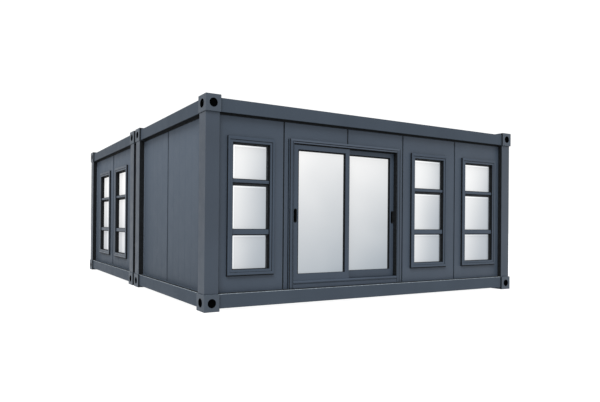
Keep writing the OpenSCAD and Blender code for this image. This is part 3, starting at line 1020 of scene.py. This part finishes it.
def make_windows(name, side, face, wall_back):
    """All that a wall's windows are made of, in the places of its two CAD nodes."""
    frames, panes = name + "_window_frames", name + "_window_glass"
    found = windows(frames, panes, side)
    painted, black, glazing = Shapes(side), Shapes(side), Shapes(side)
    on_side = side in ("left", "right")
    setback = SIDE_PANE_SETBACK if on_side else 0.0
    for window in found:
        y0, y1 = window.glass.y0 + setback, window.glass.y1 + setback
        glass_box = window.glass._replace(y0=y0, y1=y1)
        window = window._replace(glass=glass_box)
        casing_ring(painted, black, window)
        casing_gasket(black, window, face)
        reveal_lining(black, window, wall_back)
        for number, bar in enumerate(window.bars):
            window_bar(painted, black, window, bar, window.casing.y0 + BAR_SETBACK, number == 0)
        extent = (glass_box.x0, glass_box.x1, glass_box.z0, glass_box.z1)
        x1 = glass_box.x1 - RIGHT_STRIP
        for z0, z1 in pane_spans(window):
            top_in = SASH_HEAD if z1 == glass_box.z1 else SASH_UNDER_BAR
            insets = (SASH_SIDE, SASH_BOTTOM, top_in)
            sash(black, glass_box.x0, x1, z0, z1, y0, insets)
            pane(glazing, (glass_box.x0, x1, z0, z1, y0, y1), insets, extent)
    painted.piece(name + "_window_casings", [CASING_PAINT], "window_frame", replaces=[frames])
    # Real gaskets and sashes, with the black pieces of painted shade in the casing grooves, under the
    # casings and round the bars.
    black.piece(name + "_window_gaskets_and_shade", [BLACK, SASH], "seal")
    finishes = SIDE_GLASS if on_side else WINDOW_GLASS
    made = glazing.piece(name + "_window_panes", finishes, "glass", replaces=[panes])
    map_panes(made, side, glazing.extents)
    return found


def map_panes(piece, side, extents):
    """Gives a glass piece the UV map that runs once over each whole window."""
    back = Matrix.Rotation(-TURNS[side], 3, "Z")
    uv = piece.data.uv_layers.new(name="window")
    for loop in piece.data.loops:
        spot = back @ piece.data.vertices[loop.vertex_index].co
        for x0, x1, z0, z1 in extents:
            if x0 - MM < spot.x < x1 + MM:
                uv.data[loop.index].uv = ((spot.x - x0) / (x1 - x0), (spot.z - z0) / (z1 - z0))
                break


# ---------------------------------------------------------------- the six walls

def make_side(name, side, module, wall_nodes, seam, window_name=None, ribbed=False):
    """One module's wall on one side: its windows, its panels, the gaskets in their seams and the black
    sheets of painted shade round them.
    """
    opening = field(side, module)
    boxes = [b for node in wall_nodes for b in solids(node, side)]
    face = min(b.y0 for b in boxes)
    holes = []
    if window_name:
        found = make_windows(window_name, side, face, max(b.y1 for b in boxes))
        clear = 30 * MM
        holes = [
            Box(w.casing.x0 + clear, w.casing.x1 - clear, 0, 0, w.casing.z0 + clear, w.casing.z1 - clear)
            for w in found
        ]
    for node in wall_nodes:
        make_wall(node, side, opening, seam, holes, ribbed)
    make_seams(name + "_seam_gaskets", side, opening, boxes)
    make_recess_shading(name + "_recess_painted_shade", side, opening, face)


FRONT_NODES = [
    "front_wall_left_bay", "front_wall_door_sides", "front_wall_door_header",
    "front_wall_middle_bay", "front_wall_right_bay",
]
make_side("front", "front", "front", FRONT_NODES, FRONT_SEAM, "front")
make_side("back", "back", "rear", ["back_wall"], FRONT_SEAM, "back")
make_side("front_left", "left", "front", ["front_module_left_wall"], NEAR_SEAM, ribbed=True)
make_side("front_right", "right", "front", ["front_module_right_wall"], FRONT_SEAM, ribbed=True)
make_side("rear_left", "left", "rear", ["rear_module_left_wall"], FAR_SEAM, "left", ribbed=True)
make_side("rear_right", "right", "rear", ["rear_module_right_wall"], FRONT_SEAM, "right", ribbed=True)


# ---------------------------------------------------------------- sliding door

DOOR_PROFILE = (
    # share of the jamb's width, share of the head's height, depth behind the face
    (0.00, 0.00, 30 * MM), (0.00, 0.00, 2 * MM), (0.04, 0.05, 1.5 * MM), (0.10, 0.36, 0 * MM),
    (0.66, 0.46, 0.5 * MM), (0.70, 0.50, 9 * MM), (0.79, 0.55, 9 * MM), (0.82, 0.57, 2.5 * MM),
    (0.92, 0.90, 0.5 * MM), (0.95, 0.95, 2 * MM), (0.95, 0.95, 30 * MM),
)
TRACK_BITE = 14 * MM
LEAF_GAP = 6 * MM
FRAME_PROUD = 8 * MM
JAMB_BEAD = 8 * MM
SILL_NOSE_H = 30 * MM
SILL_GROOVE_H = 18 * MM
SILL_STEP = 9 * MM
SILL_LIP = 10 * MM
CHANNEL_DEPTH = 20 * MM


def frame_trim(shapes, door, front, jamb_w, head_w):
    """The moulded face of the door frame, which runs up one jamb, along the head and down the other.
    The head has the second finish, a lighter copy of the door paint that is painted light."""
    rings = [[], [], [], []]
    for jamb_share, head_share, depth in DOOR_PROFILE:
        inset = JAMB_BEAD + jamb_share * (jamb_w - JAMB_BEAD)
        x0, x1, z1 = door.x0 + inset, door.x1 - inset, door.z1 - head_share * head_w
        for ring, (x, z) in zip(rings, ((x0, door.z0), (x0, z1), (x1, z1), (x1, door.z0))):
            ring.append((x, front + depth, z))
    middle = (door.x0 + door.x1) / 2
    shapes.stack(rings, lambda centre: int(abs(centre.x - middle) < MM))


def sill_outline(door, front, sill_top):
    """The section of the sill: a sloping nose over a groove, and a track channel behind it."""
    nose_low = sill_top - SILL_NOSE_H
    groove_low = nose_low - SILL_GROOVE_H
    nose = front - SILL_STEP
    back = door.y1
    channel = sill_top - CHANNEL_DEPTH
    return [
        (front, door.z0), (front, groove_low - 3 * MM), (front + 3 * MM, groove_low),
        (front + SILL_STEP, groove_low), (front + SILL_STEP, nose_low), (nose + 3 * MM, nose_low),
        (nose, nose_low + 4 * MM), (nose + MM, sill_top - 14 * MM), (nose + 6 * MM, sill_top - 8 * MM),
        (nose + 16 * MM, sill_top - MM), (front + SILL_LIP, sill_top), (front + SILL_LIP, channel),
        (back - SILL_LIP, channel), (back - SILL_LIP, sill_top), (back, sill_top), (back, door.z0),
    ]


def frame_edges(trim, shade_blocks, door, front, panel):
    """What closes the door frame's outer edges, from its face back to the panels: black at the front as
    painted shade, and the lighter door paint behind it as painted light.
    """
    wide = 10 * MM
    stop = front + 7 * MM
    for x0, x1 in ((door.x0 - SKIN, door.x0 + wide), (door.x1 - wide, door.x1 + SKIN)):
        shade_blocks.block(x0, x1, front + SKIN, stop, door.z0, door.z1 - 3 * MM)
        # The second finish here is the lighter door paint, painted light in the corner's shade.
        trim.block(x0, x1, stop, panel, door.z0, door.z1 + SKIN, finish=1)
    shade_blocks.block(door.x0, door.x1, front + wide, panel, door.z1 - wide, door.z1 + SKIN)


def channel_seals(shade_blocks, door, clear, left, right):
    """The black insides of the jambs, and of the channels that the two leaves run in: painted shade in the
    frame's recesses.
    """
    edge = 5 * MM
    lining = 2 * MM
    inner = clear.y0 + lining
    start = clear.y0 + 3 * MM
    top = door.z1 - lining
    for x0, x1 in ((door.x0 + edge, clear.x0), (clear.x1, door.x1 - edge)):
        shade_blocks.block(x0, x1, start, door.y1, door.z0, top)
    for x0, x1 in ((clear.x0 - lining, clear.x0), (clear.x1, clear.x1 + lining)):
        shade_blocks.block(x0, x1, inner, start, clear.z0, clear.z1)
    divider = (left.y1 + edge, right.y0 - edge)
    for y0, y1, z0, z1 in (
            (inner, left.y0 - edge, clear.z1, top), (*divider, clear.z1, top),
            (right.y1 + edge, door.y1, clear.z1, top), (start, door.y1, left.z1 + LEAF_GAP, top),
            (*divider, clear.z0 - CHANNEL_DEPTH, clear.z0 - lining)):
        shade_blocks.block(clear.x0, clear.x1, y0, y1, z0, z1)


def make_door_frame():
    """The door's outer frame: its moulded trim, its sill and the black pieces of painted shade in its
    recesses.
    """
    door = whole("door_frame")
    left, right = whole("left_leaf_frame"), whole("right_leaf_frame")
    panel = outermost(solids("front_wall_door_header"))[0].y0 + LIP_H
    front = left.y0 - LEAF_GAP - FRAME_PROUD
    clear = Box(
        left.x0 - LEAF_GAP, right.x1 + LEAF_GAP, front, door.y1, left.z0 + TRACK_BITE, left.z1 - TRACK_BITE)
    trim, shade_blocks = Shapes(), Shapes()
    frame_trim(trim, door, front, clear.x0 - door.x0, door.z1 - clear.z1)
    trim.along_x(clear.x0, clear.x1, sill_outline(door, front, clear.z0))
    frame_edges(trim, shade_blocks, door, front, panel)
    channel_seals(shade_blocks, door, clear, left, right)
    trim.piece("door_frame_profiles", [DOOR_PAINT, DOOR_LIT_PAINT], "door_frame", replaces=["door_frame"])
    shade_blocks.piece("door_channel_shade", [BLACK], "seal")


# How tall the black strip along a leaf's top is: a brush seal, drawn tall as painted shade under the head.
LEAF_BRUSH_SHADE = 31 * MM
LEAF_GASKET = (24 * MM, 3 * MM, 21 * MM)
LEAF_CURVE = 3 * MM
PULL_CUP = 15 * MM
PULL_BACK = 1.5 * MM
PULL_RIM = 5 * MM
PULL_STEPS = 10


def pull_outline(handle, inset):
    """The outline of a pull with round ends, at an inset from its edge."""
    radius = (handle.x1 - handle.x0) / 2 - inset
    return rounded_outline(
        handle.x0 + inset, handle.x1 - inset, handle.z0 + inset, handle.z1 - inset, [radius] * 4, PULL_STEPS)


def make_leaf(name, skirt=0.0):
    """A leaf: its painted ring with a pocket for the pull, the black brush strip above it (partly painted
    shade under the head), its gasket and its glass.
    skirt is how far the bottom member reaches up over the glass."""
    leaf, glazing, handle = whole(name + "_frame"), whole(name + "_glass"), whole(name + "_handle")
    widths = (glazing.x0 - leaf.x0, glazing.z0 - leaf.z0 + skirt, leaf.z1 - glazing.z1)
    box = (leaf.x0, leaf.x1, leaf.z0, leaf.z1)
    ring, pocket, painted = Shapes(), Shapes(), Shapes()
    ring.ridge(*box, (0.0, 0.0, LEAF_BRUSH_SHADE), widths, leaf.y0, leaf.y1 - MM, LEAF_CURVE)
    pocket.along_y(leaf.y0 - 5 * MM, leaf.y0 + PULL_CUP + 2 * MM, pull_outline(handle, PULL_RIM))
    painted.absorb(cut(ring, pocket))
    painted.piece(name + "_profiles", [DOOR_PAINT], "leaf_frame", name, replaces=[name + "_frame"])

    gasket = Shapes()
    front = leaf.y0 + 4 * MM
    behind = glazing.y0 + MM
    narrow = tuple(width + MM for width in widths)
    inner = tuple(width + more for width, more in zip(widths, LEAF_GASKET))
    gasket.ring(*box, [
        (*widths, front), (*narrow, front), (*narrow, glazing.y0 - 4 * MM), (*inner, glazing.y0 - 2 * MM),
        (*inner, behind), (*widths, behind),
    ])
    gasket.block(leaf.x0, leaf.x1, leaf.y0 + 3 * MM, leaf.y1 - MM, leaf.z1 - LEAF_BRUSH_SHADE, leaf.z1)
    gasket.piece(name + "_gasket", [BLACK], "seal", name)

    panes = Shapes()
    pane(
        panes, (glazing.x0, glazing.x1, glazing.z0 + skirt, glazing.z1, glazing.y0, glazing.y1), LEAF_GASKET,
        (glazing.x0, glazing.x1, glazing.z0, glazing.z1))
    made = panes.piece(name + "_pane", DOOR_GLASS, "glass", name, replaces=[name + "_glass"])
    map_panes(made, "front", panes.extents)
    make_pull(name, handle, leaf.y0)


def make_pull(name, handle, face):
    """A flush pull: a rounded rim on the stile and a cup in it, whose deeper inside is painted blacker as
    painted shade.
    """
    profile = (
        # inset, distance behind the stile's face, from the back of the pull over its rim into its cup
        (9 * MM, PULL_CUP + PULL_BACK), (0.0, 0.0), (0.8 * MM, -2.2 * MM), (3 * MM, -3 * MM),
        (6 * MM, -2 * MM), (7 * MM, 0.0), (9 * MM, PULL_CUP - 3 * MM), (12 * MM, PULL_CUP),
    )
    shapes = Shapes()
    shapes.stack(
        [[(x, face + depth, z) for x, z in pull_outline(handle, inset)] for inset, depth in profile],
        lambda centre: int(centre.y > face + 8 * MM))
    shapes.piece(name + "_pull", [BLACK, PIT_SHADE], "handle", name, replaces=[name + "_handle"])


make_door_frame()
make_leaf("left_leaf")
make_leaf("right_leaf", skirt=10 * MM)


# ---------------------------------------------------------------- floor, ceiling and roof

def make_floor_planks(node):
    """Boards in rows along X, each row shifted by a share of a board's length, on a thinner deck."""
    deck = whole(node)
    board_w, board_l, board_t = 180 * MM, 1220 * MM, 12 * MM
    shift = 0.37
    shortest = 20 * MM
    gap = 0.5 * MM
    under = deck.z1 - board_t
    shapes = Shapes()
    shapes.block(deck.x0, deck.x1, deck.y0, deck.y1, deck.z0, under, finish=1)
    for row in range(math.ceil((deck.y1 - deck.y0) / board_w)):
        y0 = deck.y0 + row * board_w
        y1 = min(y0 + board_w, deck.y1)
        x = deck.x0 - board_l * (row * shift % 1)
        while x < deck.x1:
            x0, x1 = max(x, deck.x0), min(x + board_l, deck.x1)
            if x1 - x0 > shortest:
                shapes.block(x0 + gap, x1 - gap, y0 + gap, y1 - gap, under, deck.z1, rounding=MM, steps=1)
            x += board_l
    shapes.piece(node + "_planks", [PLANKS, ZINC], "floor_board", replaces=[node])


def make_ceiling(node):
    """Ceiling sheets side by side along X."""
    whole_sheet = whole(node)
    width = 600 * MM
    count = round((whole_sheet.x1 - whole_sheet.x0) / width)
    step = (whole_sheet.x1 - whole_sheet.x0) / count
    shapes = Shapes()
    for i in range(count):
        x0 = whole_sheet.x0 + i * step
        shapes.block(*whole_sheet._replace(x0=x0, x1=x0 + step), rounding=3 * MM)
    shapes.piece(node + "_sheets", [WHITE], "ceiling_sheet", replaces=[node])


def make_roof(node):
    """A roof sheet with ribs that run from front to back."""
    deck = whole(node)
    pitch = 250 * MM
    rib_h = 24 * MM
    foot, crown = 34 * MM, 17 * MM
    base = deck.z1 - 12 * MM
    count = round((deck.x1 - deck.x0) / pitch)
    step = (deck.x1 - deck.x0) / count
    outline = [(deck.x0, deck.z0), (deck.x1, deck.z0), (deck.x1, base)]
    for i in reversed(range(count)):
        x = deck.x0 + (i + 0.5) * step
        outline += [(x + foot, base), (x + crown, base + rib_h), (x - crown, base + rib_h), (x - foot, base)]
    outline.append((deck.x0, base))
    shapes = Shapes()
    shapes.along_y(deck.y0, deck.y1, outline)
    shapes.piece(node + "_sheet", [FRAME_PAINT], "roof_sheet", replaces=[node])


for module in ("front", "rear"):
    make_floor_planks(module + "_floor")
    make_ceiling(module + "_ceiling")
    make_roof(module + "_roof")

KEPT_NODES = {
    "front_floor_joists": ZINC, "rear_floor_joists": ZINC, "joint_seal": BLACK, "joint_plates": FRAME_PAINT,
}
for node, finish in KEPT_NODES.items():
    nodes[node].data.materials.clear()
    nodes[node].data.materials.append(finish)


# ---------------------------------------------------------------- stage, light and camera

def make_stage():
    """A broad pale floor just under the home, which glows so that it comes out white."""
    size = 60
    corners = [(-size, -size), (size, -size), (size, size), (-size, size)]
    mesh = bpy.data.meshes.new("stage_floor")
    mesh.from_pydata([(x, y, low.z - 0.5 * MM) for x, y in corners], [], [(0, 1, 2, 3)])
    ground = bpy.data.objects.new("stage_floor", mesh)
    scene.collection.objects.link(ground)
    finish = Finish("stage_floor")
    finish.plain(
        Base_Color=(0.12, 0.12, 0.12, 1), Roughness=1.0, Emission_Color=(1, 1, 1, 1), Emission_Strength=0.96,
        Specular_IOR_Level=0.0)
    mesh.materials.append(finish.material)


SKY_LOW, SKY_HIGH = 1.03, 1.25
KEY_ENERGY = 3.6
KEY_ANGLE = 35
KEY_TOWARDS = (0.4, 0.38, -0.75)


def make_lights():
    """A soft studio sky that is brighter overhead, and a broad key light from the upper left."""
    world = bpy.data.worlds.new("world")
    scene.world = world
    world.use_nodes = True
    tree = world.node_tree
    sky = tree.nodes["Background"]
    place = tree.nodes.new("ShaderNodeTexCoord")
    split = tree.nodes.new("ShaderNodeSeparateXYZ")
    rise = tree.nodes.new("ShaderNodeMapRange")
    rise.inputs["To Min"].default_value = SKY_LOW
    rise.inputs["To Max"].default_value = SKY_HIGH
    tree.links.new(place.outputs["Generated"], split.inputs["Vector"])
    tree.links.new(split.outputs["Z"], rise.inputs["Value"])
    tree.links.new(rise.outputs["Result"], sky.inputs["Strength"])
    sky.inputs["Color"].default_value = (1, 1, 1, 1)
    data = bpy.data.lights.new("key", "SUN")
    data.energy = KEY_ENERGY
    data.angle = math.radians(KEY_ANGLE)
    key = bpy.data.objects.new("key", data)
    scene.collection.objects.link(key)
    key.rotation_euler = Vector(KEY_TOWARDS).to_track_quat("-Z", "Y").to_euler()
    scene.view_settings.view_transform = "Standard"


# The camera's distances from the home's lower front left corner: to the left, in front and above
CAMERA_LEFT, CAMERA_FRONT, CAMERA_UP = 2.699, 5.856, 1.145
CAMERA_YAW, CAMERA_PITCH, CAMERA_ROLL = 0.4715, 0.0027, 0.0091


def make_camera():
    """The camera stands to the left of the front wall and looks back to its right."""
    data = bpy.data.cameras.new("camera")
    camera = bpy.data.objects.new("camera", data)
    scene.collection.objects.link(camera)
    data.sensor_width = 36
    data.lens = 30.61
    data.shift_x = 0.125
    data.shift_y = 0.0337
    place = Matrix.Translation((low.x - CAMERA_LEFT, low.y - CAMERA_FRONT, low.z + CAMERA_UP))
    turn = Matrix.Rotation(-CAMERA_YAW, 4, "Z") @ Matrix.Rotation(math.pi / 2 + CAMERA_PITCH, 4, "X")
    camera.matrix_world = place @ turn @ Matrix.Rotation(CAMERA_ROLL, 4, "Z")
    scene.camera = camera


make_stage()
make_lights()
make_camera()
